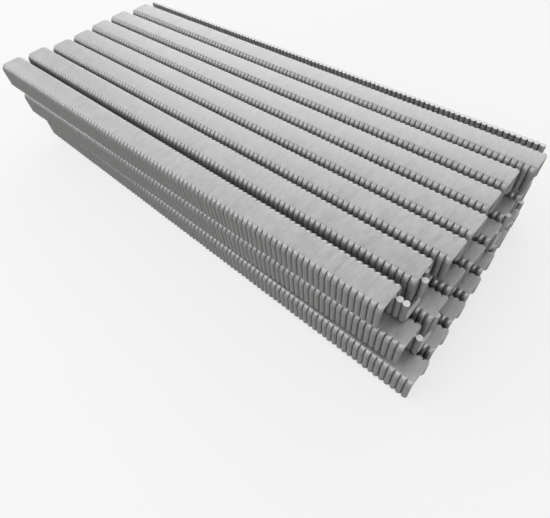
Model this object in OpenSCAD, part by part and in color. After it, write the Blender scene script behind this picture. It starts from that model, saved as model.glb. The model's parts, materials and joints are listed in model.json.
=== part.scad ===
// Nested stack of wire-clip sticks. Each stick is a row of U-shaped clips of round wire, bonded side by
// side. Upright sticks stand crown up, and inverted sticks lie crown down with their legs in the channels
// of the upright sticks beside them. The origin is on the table, below the middle of the stack.

/* [Wire] */
// Diameter of the clip wire
wire_d = 1.94; // [1.6:0.02:2.2]
// Depth by which neighbouring wires run into each other along their bond line
bond_overlap = 0.04; // [0.02:0.01:0.1]

/* [Clip] */
// Outer width over the two legs
clip_w = 10.6; // [10:0.1:13]
// Height from the top of the crown to the leg tips
clip_h = 9.1; // [7:0.1:12]
// Thickness of the pressed crown
crown_t = 1.5; // [1.2:0.05:1.9]
// Outer radius of the bends between crown and legs
bend_r = 2; // [1.6:0.1:2.6]

/* [Stick] */
// Number of clips bonded into one stick
clip_count = 105; // [40:1:110]

/* [Stack] */
// Free gap between the sides of neighbouring sticks in a row
side_gap = 0.5; // [0.3:0.1:1.2]
// Clearance under a leg tip and between layers
seat_gap = 0.25; // [0.2:0.05:0.5]
// Angle by which the bottom layer lies turned under the layers above
bottom_turn = 1.1; // [0:0.1:1.5]

/* [Hidden] */
$fn = 48;

// Layers from the table up
LAYERS = ["bottom", "middle", "top"];
layer_turn = [-bottom_turn, 0, 0];

// Lengthwise lay of the loose sticks, front stick first, one list for each layer
upright_lay = [
    [9.8, 9, 8.2, 7.4, 6.3, 5.2, 4.2],
    [3.2, 4.4, 3.7, 4.2, 4.2, 3.2, 3.8],
    [-4.5, -2.5, 1, 1.2, 0.2, 0.5, 4],
];
inverted_lay = [
    [8.6, 7.4, 7.2, 6, 5.3, 4.6, 3.4],
    [5.4, 3, 3.5, 3, 4.7, 3, 3],
    [-0.5, -2, -1.5, -0.5, -1, -0.5, 1.8],
];
// Sideways lay of the upright sticks, the same in every layer
side_lay = [-0.5, 0.2, 0.2, 0.1, 0, 0.1, 0.1];
row_count = len(side_lay);

// Stick
wire_r = wire_d / 2;
clip_pitch = wire_d - bond_overlap;
row_len = (clip_count - 1) * clip_pitch;
leg_y = clip_w / 2 - wire_r;
// Share of the last wire's radius that the flat faces of the stick reach
end_share = 0.8;
core_len = row_len + 2 * end_share * wire_r;
channel_w = clip_w - 2 * wire_d;
channel_h = clip_h - crown_t;

// Bend: a flat shoulder takes the wires' grooves, and a round above it runs into the crown
groove_depth = wire_r - sqrt(wire_r * wire_r - clip_pitch * clip_pitch / 4);
groove_margin = 0.1;
shoulder_a = acos(1 - (groove_depth + groove_margin) / bend_r);
bend_y = clip_w / 2 - bend_r;
bend_z = clip_h - bend_r;
shoulder_y = bend_y + bend_r * cos(shoulder_a);
shoulder_z = bend_z + bend_r * sin(shoulder_a);
// Room outside the wires, so that only the shoulder trims them
side_room = wire_r / 5;
side_y = clip_w / 2 + side_room;
side_z = bend_z - side_room / tan(shoulder_a / 2);

// Stack
stick_pitch = clip_w + side_gap;
layer_h = clip_h + crown_t + 2 * seat_gap;
stick_boxes = [for (layer = [0 : len(LAYERS) - 1], k = [0 : row_count - 1]) each [
    stick_box(layer, [upright_lay[layer][k], upright_y(k)]),
    stick_box(layer, [inverted_lay[layer][k], inverted_y(k)]),
]];
x_mid = (min([for (b = stick_boxes) b[0].x]) + max([for (b = stick_boxes) b[1].x])) / 2;
y_mid = (min([for (b = stick_boxes) b[0].y]) + max([for (b = stick_boxes) b[1].y])) / 2;

// Lowest and highest corner, seen from above, of a stick that lies at a place in its turned layer
function stick_box(layer, place) =
    let (
        c = cos(layer_turn[layer]),
        s = sin(layer_turn[layer]),
        mid = [place.x * c - place.y * s, place.x * s + place.y * c],
        half = [row_len / 2 * c + leg_y * abs(s) + wire_r, row_len / 2 * abs(s) + leg_y * c + wire_r]
    )
    [mid - half, mid + half];

function upright_y(k) = (k - (row_count - 1) / 2) * stick_pitch + side_lay[k];

function inverted_y(k) = k < row_count - 1
    ? (upright_y(k) + upright_y(k + 1)) / 2
    : upright_y(k) + stick_pitch / 2;

function stick_name(layer, way, k) = str(LAYERS[layer], "_", way, "_stick_", k + 1);

// Stick seen from above: two rows of round wires with the crown between them
module stick_plan() {
    square([core_len, 2 * leg_y], center = true);
    for (side = [-1, 1], i = [0 : clip_count - 1])
        translate([i * clip_pitch - row_len / 2, side * leg_y])
            circle(d = wire_d);
}

// Rounded top of the U between the two shoulders
module crown_cap() {
    intersection() {
        union() {
            translate([-bend_y, bend_z]) square([2 * bend_y, bend_r]);
            for (side = [-1, 1])
                translate([side * bend_y, bend_z]) circle(r = bend_r);
        }
        translate([-clip_w / 2, shoulder_z]) square([clip_w, bend_r]);
    }
}

// U seen from the end of the stick, leg tips at the bottom
module clip_profile() {
    difference() {
        union() {
            crown_cap();
            polygon([
                [-side_y, 0], [side_y, 0], [side_y, side_z], [shoulder_y, shoulder_z],
                [-shoulder_y, shoulder_z], [-side_y, side_z],
            ]);
        }
        translate([-channel_w / 2, -channel_h]) square([channel_w, 2 * channel_h]);
    }
}

// One stick of bonded clips, crown up, leg tips on the ground
module stick() {
    intersection() {
        linear_extrude(clip_h) stick_plan();
        rotate([90, 0, 90])
            translate([0, 0, -row_len / 2 - wire_d])
                linear_extrude(row_len + 2 * wire_d) clip_profile();
    }
}

// Puts a stick at its place in a layer, which lies turned as a whole
module in_layer(layer, place, z) {
    translate([-x_mid, -y_mid, layer * layer_h + z])
        rotate([0, 0, layer_turn[layer]])
            translate([place.x, place.y, 0])
                children();
}

// Stick with its crown up, standing on the crowns of the inverted sticks of its layer
module upright_stick(layer, k) {
    color("silver")
        in_layer(layer, [upright_lay[layer][k], upright_y(k)], crown_t + seat_gap)
            stick();
}

// Stick with its crown down and its legs between the legs of two upright sticks
module inverted_stick(layer, k) {
    color("gainsboro")
        in_layer(layer, [inverted_lay[layer][k], inverted_y(k)], clip_h)
            rotate([180, 0, 0]) stick();
}

for (layer = [0 : len(LAYERS) - 1], k = [0 : row_count - 1]) {
    upright_stick(layer, k);
    inverted_stick(layer, k);
}
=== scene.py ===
"""Nested stack of wire-clip sticks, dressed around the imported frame.

One clip is bent from round wire and its crown is pressed flat. A row of copies makes a stick, and every
stick of the stack is a copy with its own place, small irregularities and tone.
"""

from __future__ import annotations

import json
import logging
import math
from dataclasses import dataclass, field
from enum import Enum

import bpy
import numpy as np
from mathutils import Matrix, Quaternion, Vector

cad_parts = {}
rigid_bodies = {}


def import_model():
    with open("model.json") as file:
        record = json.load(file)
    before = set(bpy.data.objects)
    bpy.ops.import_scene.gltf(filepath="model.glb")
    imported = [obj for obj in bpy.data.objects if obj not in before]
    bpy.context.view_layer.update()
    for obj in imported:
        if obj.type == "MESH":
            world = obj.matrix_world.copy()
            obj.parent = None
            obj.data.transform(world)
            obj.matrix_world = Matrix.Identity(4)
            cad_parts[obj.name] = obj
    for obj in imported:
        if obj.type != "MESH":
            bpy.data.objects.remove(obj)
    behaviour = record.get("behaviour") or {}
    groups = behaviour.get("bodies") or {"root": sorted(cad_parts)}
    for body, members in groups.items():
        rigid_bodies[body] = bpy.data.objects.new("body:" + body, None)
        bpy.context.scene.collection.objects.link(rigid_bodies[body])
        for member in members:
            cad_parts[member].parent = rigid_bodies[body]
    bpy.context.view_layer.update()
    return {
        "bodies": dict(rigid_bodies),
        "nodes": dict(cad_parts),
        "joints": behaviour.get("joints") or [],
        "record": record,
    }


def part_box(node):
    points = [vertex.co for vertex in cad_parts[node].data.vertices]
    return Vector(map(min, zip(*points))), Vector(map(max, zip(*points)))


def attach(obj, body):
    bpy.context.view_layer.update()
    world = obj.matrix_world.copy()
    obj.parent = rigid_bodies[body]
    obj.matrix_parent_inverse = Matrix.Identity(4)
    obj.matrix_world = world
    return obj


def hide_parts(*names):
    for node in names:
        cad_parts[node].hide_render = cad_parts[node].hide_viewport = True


LOG = logging.getLogger("clip_stack")
MM = 0.001
TINY = 0.001 * MM
QUARTER_TURN = math.pi / 2
CROWN_SHARE = "crown_share"
CLIP_TONE = "clip_tone"
GROOVE = "groove"
POLISH = "polish"
INNER_SIDE = "inner_side"


class Way(Enum):
    """The way up in which a stick lies."""

    UPRIGHT = "upright"
    INVERTED = "inverted"


class ClipSlot(Enum):
    """Material slots of a clip, in order."""

    WIRE = 0
    CUT = 1


def deselect_all() -> None:
    """Deselects every object."""
    bpy.ops.object.select_all(action="DESELECT")


def pick(piece: bpy.types.Object) -> None:
    """Makes a piece the only selected and the active object.

    Args:
        piece: The object to work on.
    """
    deselect_all()
    piece.select_set(True)
    bpy.context.view_layer.objects.active = piece


@dataclass(frozen=True)
class Grain:
    """Size of a noise's grains along X, Y and Z, and its number of finer octaves."""

    size: tuple[float, float, float]
    detail: float


class NodeTree:
    """Short ways to add and link nodes of one shader tree."""

    # Places of a colour mix's sockets, whose names other sockets of the node share
    MIX_SHARE, MIX_FIRST, MIX_SECOND = 0, 6, 7
    MIX_COLOUR = 2

    def __init__(self, tree: bpy.types.NodeTree) -> None:
        """Takes the tree of a material or world, and clears it."""
        self.tree = tree
        self.tree.nodes.clear()

    def add(self, kind: str, **settings: object) -> bpy.types.Node:
        """Adds a node and sets its properties.

        Args:
            kind: The node's type, without the leading "ShaderNode".
            settings: Properties of the node and their values.

        Returns:
            The new node.
        """
        node = self.tree.nodes.new(f"ShaderNode{kind}")
        for name, value in settings.items():
            setattr(node, name, value)
        return node

    def link(self, source: bpy.types.NodeSocket, target: bpy.types.NodeSocket) -> None:
        """Links two sockets."""
        self.tree.links.new(source, target)

    def attribute(self, name: str) -> bpy.types.NodeSocket:
        """Gives the socket that carries a number stored on the mesh by name."""
        return self.add("Attribute", attribute_name=name).outputs["Fac"]

    def noise(self, grain: Grain) -> bpy.types.NodeSocket:
        """Adds a noise on the piece's own coordinates.

        Args:
            grain: The noise's grains.

        Returns:
            The socket that carries the noise, from 0 to 1.
        """
        place = self.add("TexCoord")
        mapping = self.add("Mapping")
        mapping.inputs["Scale"].default_value = [1.0 / size for size in grain.size]
        noise = self.add("TexNoise")
        noise.inputs["Scale"].default_value = 1.0
        noise.inputs["Detail"].default_value = grain.detail
        self.link(place.outputs["Object"], mapping.inputs["Vector"])
        self.link(mapping.outputs["Vector"], noise.inputs["Vector"])
        return noise.outputs["Fac"]

    def span(self, value: bpy.types.NodeSocket, low: float, high: float) -> bpy.types.NodeSocket:
        """Maps a value from 0 to 1 to a span.

        Args:
            value: The socket to map.
            low: Result at 0.
            high: Result at 1.

        Returns:
            The socket that carries the mapped value.
        """
        node = self.add("MapRange")
        node.inputs["To Min"].default_value = low
        node.inputs["To Max"].default_value = high
        self.link(value, node.inputs["Value"])
        return node.outputs["Result"]

    def combine(
        self, operation: str, first: bpy.types.NodeSocket, second: bpy.types.NodeSocket
    ) -> bpy.types.NodeSocket:
        """Joins two values by an arithmetic operation.

        Args:
            operation: Name of the operation, such as ADD or MULTIPLY.
            first: First value.
            second: Second value.

        Returns:
            The socket that carries the result.
        """
        node = self.add("Math", operation=operation)
        for value, socket in zip((first, second), node.inputs):
            self.link(value, socket)
        return node.outputs["Value"]

    def blend(
        self,
        share: bpy.types.NodeSocket,
        first: bpy.types.NodeSocket,
        second: bpy.types.NodeSocket,
    ) -> bpy.types.NodeSocket:
        """Blends two shaders.

        Args:
            share: Share of the second shader.
            first: Shader at share 0.
            second: Shader at share 1.

        Returns:
            The socket that carries the blended shader.
        """
        node = self.add("MixShader")
        for value, socket in zip((share, first, second), node.inputs):
            self.link(value, socket)
        return node.outputs["Shader"]

    def mix(
        self,
        share: bpy.types.NodeSocket,
        first: tuple[float, float, float],
        second: tuple[float, float, float],
    ) -> bpy.types.NodeSocket:
        """Mixes two colours.

        Args:
            share: Share of the second colour.
            first: Colour at share 0.
            second: Colour at share 1.

        Returns:
            The socket that carries the mixed colour.
        """
        node = self.add("Mix", data_type="RGBA")
        self.link(share, node.inputs[self.MIX_SHARE])
        node.inputs[self.MIX_FIRST].default_value = (*first, 1.0)
        node.inputs[self.MIX_SECOND].default_value = (*second, 1.0)
        return node.outputs[self.MIX_COLOUR]

    def seen(self) -> bpy.types.NodeSocket:
        """Tells rays that show a surface, straight or in metal or glass, from rays that only light.

        Returns:
            The socket that carries 1 for a ray that shows the surface and 0 for any other.
        """
        path = self.add("LightPath")
        seen = self.combine("ADD", path.outputs["Is Camera Ray"], path.outputs["Is Glossy Ray"])
        return self.combine("ADD", seen, path.outputs["Is Transmission Ray"])

    def shade(self, colour: bpy.types.NodeSocket, factor: bpy.types.NodeSocket) -> bpy.types.NodeSocket:
        """Multiplies a colour by a number.

        Args:
            colour: The colour's socket.
            factor: The number's socket.

        Returns:
            The socket that carries the shaded colour.
        """
        node = self.add("VectorMath", operation="SCALE")
        self.link(colour, node.inputs["Vector"])
        self.link(factor, node.inputs["Scale"])
        return node.outputs["Vector"]

    def relief(
        self, height: bpy.types.NodeSocket, depth: float, strength: float
    ) -> bpy.types.NodeSocket:
        """Turns a height into small relief.

        Args:
            height: The height, as a multiple of the depth.
            depth: Depth of the relief.
            strength: Share of the relief that shows.

        Returns:
            The socket that carries the changed normal.
        """
        node = self.add("Bump")
        node.inputs["Strength"].default_value = strength
        node.inputs["Distance"].default_value = depth
        self.link(height, node.inputs["Height"])
        return node.outputs["Normal"]

    def output(self, kind: str, surface: bpy.types.NodeSocket) -> None:
        """Links a shader to a new output node of the given kind."""
        self.link(surface, self.add(kind).inputs["Surface"])


def new_material(name: str) -> tuple[bpy.types.Material, NodeTree]:
    """Makes a material with an empty shader tree.

    Args:
        name: Name of the material.

    Returns:
        The material and its tree.
    """
    material = bpy.data.materials.new(name)
    material.use_nodes = True
    return material, NodeTree(material.node_tree)


@dataclass(frozen=True)
class DrawnWireFinish:
    """Drawn aluminium wire: legs with draw lines, bright crowns and polished bends. The legs are coloured
    darker than the crown, partly for a duller drawn finish and partly as painted shade on their sideways
    faces. Painted shade darkens the grooves between wires, and painted light brightens the inner sides of
    the legs.
    """

    name: str = "drawn_clip_wire"
    # Legs are darker than crowns partly for a duller drawn finish and partly as painted shade on their
    # sideways faces
    leg_colour_with_painted_shade: tuple[float, float, float] = (0.265, 0.262, 0.257)
    crown_colour: tuple[float, float, float] = (0.465, 0.465, 0.469)
    # Painted shade: colour factor in the grooves between neighbouring wires, with the ridges left lighter
    groove_painted_shade: float = 0.84
    # Painted light: colour factor that brightens the inner sides of the legs, which face the dim channels
    inner_painted_light: float = 1.7
    leg_metallic: float = 0.12
    crown_metallic: float = 0.85
    roughness: float = 0.48
    polished_roughness: float = 0.24
    draw_line: Grain = Grain((0.16 * MM, 5 * MM, 5 * MM), 3.0)
    mottle: Grain = Grain((1.2 * MM, 2.6 * MM, 2.6 * MM), 4.0)
    scuff: Grain = Grain((0.5 * MM, 0.35 * MM, 0.35 * MM), 2.0)
    line_shade: tuple[float, float] = (0.88, 1.12)
    mottle_shade: tuple[float, float] = (0.78, 1.18)
    tone_shade: tuple[float, float] = (0.95, 1.05)
    mottle_roughness: tuple[float, float] = (-0.09, 0.09)
    tone_roughness: tuple[float, float] = (-0.05, 0.05)
    relief_depth: float = 0.012 * MM
    relief_strength: float = 0.5

    def build(self) -> bpy.types.Material:
        """Makes the material.

        Returns:
            The new material.
        """
        material, nodes = new_material(self.name)
        shader = nodes.add("BsdfPrincipled")
        nodes.output("OutputMaterial", shader.outputs["BSDF"])

        lines = nodes.noise(self.draw_line)
        mottle = nodes.noise(self.mottle)
        scuff = nodes.noise(self.scuff)
        crown = nodes.attribute(CROWN_SHARE)
        tone = nodes.attribute(CLIP_TONE)
        groove = nodes.attribute(GROOVE)
        inner = nodes.attribute(INNER_SIDE)

        shade = nodes.span(lines, *self.line_shade)
        shade = nodes.combine("MULTIPLY", shade, nodes.span(mottle, *self.mottle_shade))
        shade = nodes.combine("MULTIPLY", shade, nodes.span(tone, *self.tone_shade))
        # Painted shade: darker towards the grooves between neighbouring wires, lighter on each ridge
        shade = nodes.combine("MULTIPLY", shade, nodes.span(groove, 1.0, self.groove_painted_shade))
        # Painted light: the inner sides of the legs, facing the channels, are made lighter
        shade = nodes.combine("MULTIPLY", shade, nodes.span(inner, 1.0, self.inner_painted_light))
        # The legs' colour is darker than the crowns': partly a duller drawn finish, partly painted shade
        # on the sideways faces and bends
        colour = nodes.mix(crown, self.leg_colour_with_painted_shade, self.crown_colour)
        nodes.link(nodes.shade(colour, shade), shader.inputs["Base Color"])

        nodes.link(nodes.span(crown, self.leg_metallic, self.crown_metallic), shader.inputs["Metallic"])
        rough = nodes.span(nodes.attribute(POLISH), self.roughness, self.polished_roughness)
        rough = nodes.combine("ADD", rough, nodes.span(mottle, *self.mottle_roughness))
        rough = nodes.combine("ADD", rough, nodes.span(tone, *self.tone_roughness))
        nodes.link(rough, shader.inputs["Roughness"])

        height = nodes.combine("ADD", lines, scuff)
        relief = nodes.relief(height, self.relief_depth, self.relief_strength)
        nodes.link(relief, shader.inputs["Normal"])
        return material


@dataclass(frozen=True)
class CutWireFinish:
    """The bright sheared end of a wire."""

    name: str = "cut_clip_wire"
    colour: tuple[float, float, float] = (0.84, 0.84, 0.84)
    torn_colour: tuple[float, float, float] = (0.72, 0.72, 0.72)
    metallic: float = 0.1
    shear_mark: Grain = Grain((0.6 * MM, 0.12 * MM, 0.12 * MM), 3.0)
    roughness: tuple[float, float] = (0.4, 0.6)
    relief_depth: float = 0.02 * MM
    relief_strength: float = 0.4

    def build(self) -> bpy.types.Material:
        """Makes the material.

        Returns:
            The new material.
        """
        material, nodes = new_material(self.name)
        shader = nodes.add("BsdfPrincipled")
        shader.inputs["Metallic"].default_value = self.metallic
        nodes.output("OutputMaterial", shader.outputs["BSDF"])
        marks = nodes.noise(self.shear_mark)
        nodes.link(nodes.mix(marks, self.torn_colour, self.colour), shader.inputs["Base Color"])
        nodes.link(nodes.span(marks, *self.roughness), shader.inputs["Roughness"])
        relief = nodes.relief(marks, self.relief_depth, self.relief_strength)
        nodes.link(relief, shader.inputs["Normal"])
        return material


@dataclass
class Clip:
    """One U-shaped clip, bent from round wire, leg tips on the ground and crown on top.

    The bonding film fills the outer grooves by film_fill. Vertices are picked by their place to within
    slack, and a pressed crown runs past the line to its neighbour by slack.
    """

    width: float
    height: float
    wire_d: float = 1.94 * MM
    pitch: float = 1.9 * MM
    crown_t: float = 1.5 * MM
    bend_r: float = 2.0 * MM
    film_fill: float = 0.2 * MM
    sides: int = 8
    bend_steps: int = 3
    crease_deg: float = 50.0
    slack: float = 0.01 * MM
    flank_share: float = 0.9
    tip_facing: float = 0.9

    @property
    def wire_r(self) -> float:
        """Radius of the wire."""
        return self.wire_d / 2

    @property
    def leg_y(self) -> float:
        """Distance of a leg's middle line from the middle of the clip."""
        return self.width / 2 - self.wire_r

    @property
    def bend_y(self) -> float:
        """Distance of a bend's centre from the middle of the clip."""
        return self.width / 2 - self.bend_r

    @property
    def bend_z(self) -> float:
        """Height of a bend's centre."""
        return self.height - self.bend_r

    @property
    def flank_x(self) -> float:
        """Distance from the wire's middle line past which a vertex lies on a bond line."""
        return self.flank_share * self.wire_r

    def build(self, materials: list[bpy.types.Material]) -> bpy.types.Object:
        """Bends the wire, presses the crown and marks the cut ends.

        Args:
            materials: Materials in the order of ClipSlot.

        Returns:
            The clip.
        """
        deselect_all()
        bpy.ops.mesh.primitive_circle_add(
            vertices=self.sides, radius=self.wire_r, fill_type="NGON", location=(0, -self.leg_y, 0)
        )
        clip = bpy.context.object
        bpy.ops.object.transform_apply(location=True, rotation=True, scale=True)
        self._choose(clip, [abs(v.co.x) > self.flank_x for v in clip.data.vertices])
        bpy.ops.transform.translate(value=(0, -self.film_fill, 0))
        bpy.ops.mesh.select_mode(type="FACE")
        bpy.ops.mesh.select_all(action="SELECT")
        self._draw_out((0, 0, self.bend_z))
        self._bend(-self.bend_y)
        self._draw_out((0, 2 * self.bend_y, 0))
        self._bend(self.bend_y)
        self._draw_out((0, 0, -self.bend_z))
        bpy.ops.mesh.select_all(action="SELECT")
        bpy.ops.mesh.remove_doubles(threshold=TINY)
        bpy.ops.mesh.normals_make_consistent(inside=False)
        bpy.ops.object.mode_set(mode="OBJECT")
        self._press_crown(clip)
        self._dress(clip, materials)
        return clip

    @staticmethod
    def _draw_out(way: tuple[float, float, float]) -> None:
        """Extrudes the end of the wire straight on."""
        bpy.ops.mesh.extrude_region_move(TRANSFORM_OT_translate={"value": way})

    def _bend(self, centre_y: float) -> None:
        """Spins the end of the wire by a right angle, towards the back, about the bend's centre."""
        bpy.ops.mesh.spin(
            steps=self.bend_steps, angle=QUARTER_TURN, center=(0, centre_y, self.bend_z), axis=(1, 0, 0)
        )

    def _press_crown(self, clip: bpy.types.Object) -> None:
        """Presses the outside of the crown flat, out to its neighbours, and leaves the inside round.

        Args:
            clip: The bent wire.
        """
        slack = self.slack
        middle = self.height - self.crown_t / 2
        crown = [
            abs(v.co.y) < self.bend_y + slack and v.co.z > self.bend_z - slack
            for v in clip.data.vertices
        ]
        self._resize(clip, crown, (1, 1, self.crown_t / self.wire_d), self.height)
        corner = [
            on and v.co.z > middle + slack and slack < abs(v.co.x) < self.flank_x
            for on, v in zip(crown, clip.data.vertices)
        ]
        corner_at = math.cos(QUARTER_TURN / 2)
        flat = (self.pitch / 2 + slack) / (self.wire_r * corner_at)
        self._resize(clip, corner, (flat, 1, 1 / corner_at), middle)

    @staticmethod
    def _choose(clip: bpy.types.Object, chosen: list[bool]) -> None:
        """Goes into edit mode with only the chosen vertices selected.

        Args:
            clip: The clip.
            chosen: Whether each vertex takes part.
        """
        pick(clip)
        bpy.ops.object.mode_set(mode="EDIT")
        bpy.ops.mesh.select_mode(type="VERT")
        bpy.ops.mesh.select_all(action="DESELECT")
        bpy.ops.object.mode_set(mode="OBJECT")
        clip.data.vertices.foreach_set("select", chosen)
        bpy.ops.object.mode_set(mode="EDIT")

    def _resize(
        self,
        clip: bpy.types.Object,
        chosen: list[bool],
        factor: tuple[float, float, float],
        centre_z: float,
    ) -> None:
        """Resizes the chosen vertices about a height on the clip's middle plane.

        Args:
            clip: The clip.
            chosen: Whether each vertex takes part.
            factor: Resize factors along X, Y and Z.
            centre_z: Height that stays.
        """
        self._choose(clip, chosen)
        bpy.ops.transform.resize(value=factor, center_override=(0, 0, centre_z))
        bpy.ops.object.mode_set(mode="OBJECT")

    def _dress(self, clip: bpy.types.Object, materials: list[bpy.types.Material]) -> None:
        """Gives the wire its finish, and the cut ends theirs.

        Args:
            clip: The clip.
            materials: Materials in the order of ClipSlot.
        """
        pick(clip)
        for material in materials:
            clip.data.materials.append(material)
        for face in clip.data.polygons:
            cut = face.normal.z < -self.tip_facing and face.center.z < self.wire_r
            face.material_index = (ClipSlot.CUT if cut else ClipSlot.WIRE).value
        bpy.ops.object.shade_smooth_by_angle(angle=math.radians(self.crease_deg))
        bpy.ops.object.modifier_add(type="WEIGHTED_NORMAL")
        clip.modifiers[-1].keep_sharp = True
        bpy.ops.object.modifier_apply(modifier=clip.modifiers[-1].name)


@dataclass
class Stick:
    """A row of clips that are bonded side by side."""

    clip: Clip
    length: float
    slip: tuple[float, float, float] = (0.01 * MM, 0.03 * MM, 0.004 * MM)
    lean_deg: float = 0.3
    tip_spread: float = 0.05 * MM
    # Shapes the painted shade across each wire, from the ridge to the bond line
    groove_power: float = 0.5
    vertices_per_clip: int = field(init=False, default=0)

    @property
    def count(self) -> int:
        """Number of clips in the row."""
        return round((self.length - self.clip.wire_d) / self.clip.pitch) + 1

    def build(self, materials: list[bpy.types.Material]) -> bpy.types.Object:
        """Sets copies of one clip in a row.

        Args:
            materials: Materials in the order of ClipSlot.

        Returns:
            The row, centred on the origin.
        """
        row = self.clip.build(materials)
        self.vertices_per_clip = len(row.data.vertices)
        pick(row)
        bpy.ops.object.modifier_add(type="ARRAY")
        array = row.modifiers[-1]
        array.count = self.count
        array.use_relative_offset = False
        array.use_constant_offset = True
        array.constant_offset_displace = (self.clip.pitch, 0, 0)
        bpy.ops.object.modifier_apply(modifier=array.name)
        row.location = (-(self.count - 1) * self.clip.pitch / 2, 0, -self.clip.height / 2)
        bpy.ops.object.transform_apply(location=True, rotation=True, scale=True)
        return row

    def copy(self, row: bpy.types.Object, name: str, seed: int) -> bpy.types.Object:
        """Copies the row with its own mesh, small irregularities and tones.

        Args:
            row: The even row.
            name: Name of the copy.
            seed: Seed of the irregularities.

        Returns:
            The copy, centred on the origin.
        """
        pick(row)
        bpy.ops.object.duplicate()
        stick = bpy.context.object
        stick.name = stick.data.name = name
        mesh = stick.data
        flat = np.empty(len(mesh.vertices) * 3, dtype=np.float32)
        mesh.vertices.foreach_get("co", flat)
        points = flat.reshape(self.count, self.vertices_per_clip, 3).astype(np.float64)
        turned = self._turned(points)
        leg = turned / QUARTER_TURN
        crown = 1 - leg
        self._store(mesh, CROWN_SHARE, crown)
        self._store(mesh, POLISH, np.sin(2 * turned))
        # The groove number carries painted shade into the grooves between wires
        self._store(mesh, GROOVE, self._groove(points) * leg)
        # The inner-side number carries painted light onto the inner sides of the legs
        self._store(mesh, INNER_SIDE, self._inner(points) * leg)
        rng = np.random.default_rng(seed)
        tones = rng.random(self.count)
        self._store(mesh, CLIP_TONE, np.repeat(tones[:, None], self.vertices_per_clip, axis=1))
        self._unsettle(points, rng)
        mesh.vertices.foreach_set("co", points.astype(np.float32).ravel())
        mesh.update()
        return stick

    @staticmethod
    def _store(mesh: bpy.types.Mesh, name: str, values: np.ndarray) -> None:
        """Stores one number for each vertex of the mesh, in their order."""
        layer = mesh.attributes.new(name, "FLOAT", "POINT")
        layer.data.foreach_set("value", values.astype(np.float32).ravel())

    def _turned(self, points: np.ndarray) -> np.ndarray:
        """Works out how far round the bend each vertex lies.

        Args:
            points: Vertices of the even row, one block for each clip.

        Returns:
            Angles from 0 on the crown to a right angle on the legs.
        """
        clip = self.clip
        out = np.abs(points[..., 1]) - clip.bend_y
        up = points[..., 2] + clip.height / 2 - clip.bend_z
        return np.arctan2(np.maximum(out, 0), np.maximum(up, TINY))

    def _groove(self, points: np.ndarray) -> np.ndarray:
        """Works out how deep vertices lie between two wires, from 0 on the ridge to 1 at the bond line."""
        middle = (np.arange(self.count) - (self.count - 1) / 2) * self.clip.pitch
        return (np.abs(points[..., 0] - middle[:, None]) / self.clip.wire_r) ** self.groove_power

    def _inner(self, points: np.ndarray) -> np.ndarray:
        """Works out how far vertices lie inwards, from 0 at the wire's middle line to 1 at the channel."""
        return np.clip((self.clip.leg_y - np.abs(points[..., 1])) / self.clip.wire_r, 0, 1)

    def _unsettle(self, points: np.ndarray, rng: np.random.Generator) -> None:
        """Shifts and leans each clip a little, and spreads its tips.

        Args:
            points: Vertices, one block for each clip, changed in place.
            rng: Source of the irregularities.
        """
        slip = rng.uniform(-1, 1, (self.count, 1, 3)) * self.slip
        lean = np.radians(rng.uniform(-self.lean_deg, self.lean_deg, (self.count, 1)))
        spread = rng.uniform(-self.tip_spread, self.tip_spread, (self.count, 1))
        down = 0.5 - points[..., 2] / self.clip.height
        points[..., 0] += lean * points[..., 1]
        points[..., 1] += np.sign(points[..., 1]) * spread * down**2
        points += slip


class Stack:
    """All sticks of the stack, each where its node lies in the frame."""

    def __init__(self, frame: dict) -> None:
        """Reads the sizes of a stick from the frame.
        """
        self.nodes = sorted(frame["nodes"])
        self.turns = self._layer_turns(frame["record"]["behaviour"]["joints"])
        straight = next(name for name in self.nodes if not self._turn(name))
        low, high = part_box(straight)
        size = high - low
        self.stick = Stick(Clip(width=size.y, height=size.z), length=size.x)

    @staticmethod
    def _layer_turns(joints: list[dict]) -> dict[str, float]:
        """Reads how each layer lies turned from the lines along which its sticks slide.

        Args:
            joints: The joints of the record.

        Returns:
            Angle about Z by the name of the layer.
        """
        turns = {}
        for joint in joints:
            x, y, z = joint["axis"]
            if abs(z) < abs(x):
                turns[joint["child"].split("_")[0]] = math.atan(y / x)
        return turns

    def _turn(self, node: str) -> float:
        """Gives the angle at which a node's layer lies."""
        return self.turns[node.split("_")[0]]

    def build(self) -> list[bpy.types.Object]:
        """Makes every stick and ties it to its body.

        Returns:
            The sticks.
        """
        materials = [DrawnWireFinish().build(), CutWireFinish().build()]
        row = self.stick.build(materials)
        sticks = [self._lay(row, node, seed) for seed, node in enumerate(self.nodes)]
        pick(row)
        bpy.ops.object.delete()
        return sticks

    def _lay(self, row: bpy.types.Object, node: str, seed: int) -> bpy.types.Object:
        """Lays one stick where its node is.

        Args:
            row: The even row of clips.
            node: Name of the node, which is its body's name too.
            seed: Seed of the stick's irregularities.

        Returns:
            The stick.
        """
        stick = self.stick.copy(row, f"{node}_clips", seed)
        low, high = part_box(node)
        way = Way.INVERTED if f"_{Way.INVERTED.value}_" in node else Way.UPRIGHT
        flip = Matrix.Rotation(math.pi if way is Way.INVERTED else 0.0, 4, "X")
        turn = Matrix.Rotation(self._turn(node), 4, "Z")
        stick.matrix_world = Matrix.Translation((low + high) / 2) @ turn @ flip
        pick(stick)
        bpy.ops.object.transform_apply(location=True, rotation=True, scale=True)
        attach(stick, node)
        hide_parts(node)
        LOG.info("%s: %d clips, %d faces", stick.name, self.stick.count, len(stick.data.polygons))
        return stick


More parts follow.
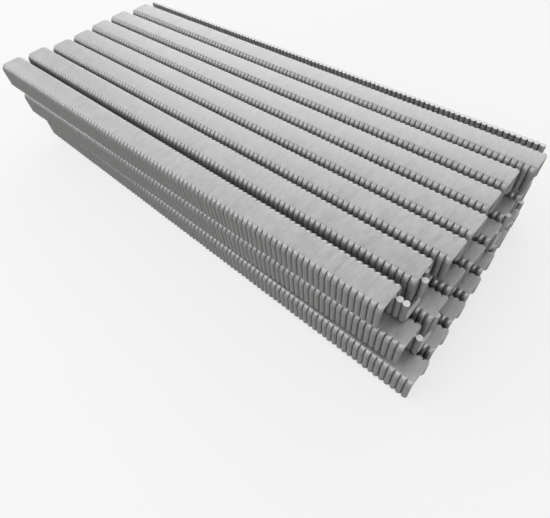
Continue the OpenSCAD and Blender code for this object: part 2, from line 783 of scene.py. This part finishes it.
@dataclass(frozen=True)
class PhotoCamera:
    """The camera, at the viewing angle of the photograph."""

    location: tuple[float, float, float] = (112.87 * MM, -90.53 * MM, 122.75 * MM)
    aim: tuple[float, float, float] = (53.36 * MM, -37.12 * MM, 16.5 * MM)
    roll_deg: float = -7.935
    focal_px: float = 423.4
    image_w: int = 550
    sensor_w: float = 36.0
    near: float = 5 * MM

    def build(self) -> bpy.types.Object:
        """Makes the camera and sets it as the scene's.

        Returns:
            The camera.
        """
        data = bpy.data.cameras.new("photo_camera")
        data.sensor_fit = "HORIZONTAL"
        data.sensor_width = self.sensor_w
        data.lens = self.focal_px * self.sensor_w / self.image_w
        data.clip_start = self.near
        camera = bpy.data.objects.new("photo_camera", data)
        bpy.context.collection.objects.link(camera)
        look = (Vector(self.aim) - Vector(self.location)).to_track_quat("-Z", "Y")
        roll = Quaternion((0, 0, 1), math.radians(self.roll_deg))
        camera.rotation_euler = (look @ roll).to_euler()
        camera.location = self.location
        bpy.context.scene.camera = camera
        return camera


@dataclass(frozen=True)
class SoftBox:
    """A soft box, sized by its width and height, that looks at the stack."""

    name: str
    location: tuple[float, float, float]
    size: tuple[float, float]
    power: float
    aim: tuple[float, float, float] = (0.0, 0.0, 15 * MM)

    def build(self) -> bpy.types.Object:
        """Makes the lamp.

        Returns:
            The lamp.
        """
        data = bpy.data.lights.new(self.name, "AREA")
        data.shape = "RECTANGLE"
        data.size, data.size_y = self.size
        data.energy = self.power
        lamp = bpy.data.objects.new(self.name, data)
        bpy.context.collection.objects.link(lamp)
        lamp.location = self.location
        look = Vector(self.aim) - Vector(self.location)
        lamp.rotation_euler = look.to_track_quat("-Z", "Y").to_euler()
        return lamp


@dataclass(frozen=True)
class Studio:
    """A pale floor, a soft room with a pale backdrop, and soft boxes."""

    floor_size: float = 40.0
    floor_drop: float = 0.05 * MM
    floor_colour: tuple[float, float, float] = (0.62, 0.62, 0.62)
    floor_shown: tuple[float, float, float] = (0.95, 0.95, 0.95)
    floor_glow: float = 0.65
    room: tuple[float, float, float] = (0.46, 0.46, 0.46)
    backdrop: tuple[float, float, float] = (0.75, 0.75, 0.75)
    boxes: tuple[SoftBox, ...] = (
        SoftBox("spark_box", (-0.4, -0.5, 0.75), (0.12, 0.12), 0.35),
        SoftBox("left_box", (-0.8, -0.15, 0.5), (0.7, 0.7), 1.4),
        SoftBox("front_box", (0.1, -0.65, 1.05), (1.6, 1.6), 5.5),
        SoftBox("back_box", (-0.75, 1.3, 0.62), (2.2, 1.0), 10.0),
    )
    glossy_bounces: int = 10

    def build(self) -> None:
        """Makes the floor, the world and the lamps."""
        self._floor()
        self._room()
        for box in self.boxes:
            box.build()
        bpy.context.scene.view_settings.view_transform = "Standard"
        bpy.context.scene.cycles.glossy_bounces = self.glossy_bounces

    def _floor(self) -> None:
        """Lays the pale floor under the stack."""
        deselect_all()
        bpy.ops.mesh.primitive_plane_add(size=self.floor_size, location=(0, 0, -self.floor_drop))
        floor = bpy.context.object
        floor.name = "floor"
        floor.data.materials.append(self._pale_floor())

    def _pale_floor(self) -> bpy.types.Material:
        """Makes a pale floor that looks whiter to the camera, and in the metal, and keeps its shadows.

        Returns:
            The new material.
        """
        material, nodes = new_material("pale_floor")
        matt = nodes.add("BsdfDiffuse")
        seen = nodes.seen()
        nodes.link(nodes.mix(seen, self.floor_colour, self.floor_shown), matt.inputs["Color"])
        white = nodes.add("Emission")
        glow = nodes.span(seen, 0.0, self.floor_glow)
        surface = nodes.blend(glow, matt.outputs["BSDF"], white.outputs["Emission"])
        nodes.output("OutputMaterial", surface)
        return material

    def _room(self) -> None:
        """Lights the room softly, in front of a pale backdrop on every side."""
        world = bpy.data.worlds.new("soft_room")
        bpy.context.scene.world = world
        world.use_nodes = True
        nodes = NodeTree(world.node_tree)
        background = nodes.add("Background")
        nodes.link(nodes.mix(nodes.seen(), self.room, self.backdrop), background.inputs["Color"])
        nodes.output("OutputWorld", background.outputs["Background"])


def main() -> None:
    """Builds the stack, the studio and the camera."""
    logging.basicConfig(level=logging.INFO, format="%(name)s: %(message)s")
    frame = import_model()
    PhotoCamera().build()
    sticks = Stack(frame).build()
    LOG.info("%d sticks", len(sticks))
    Studio().build()


if __name__ == "__main__":
    main()
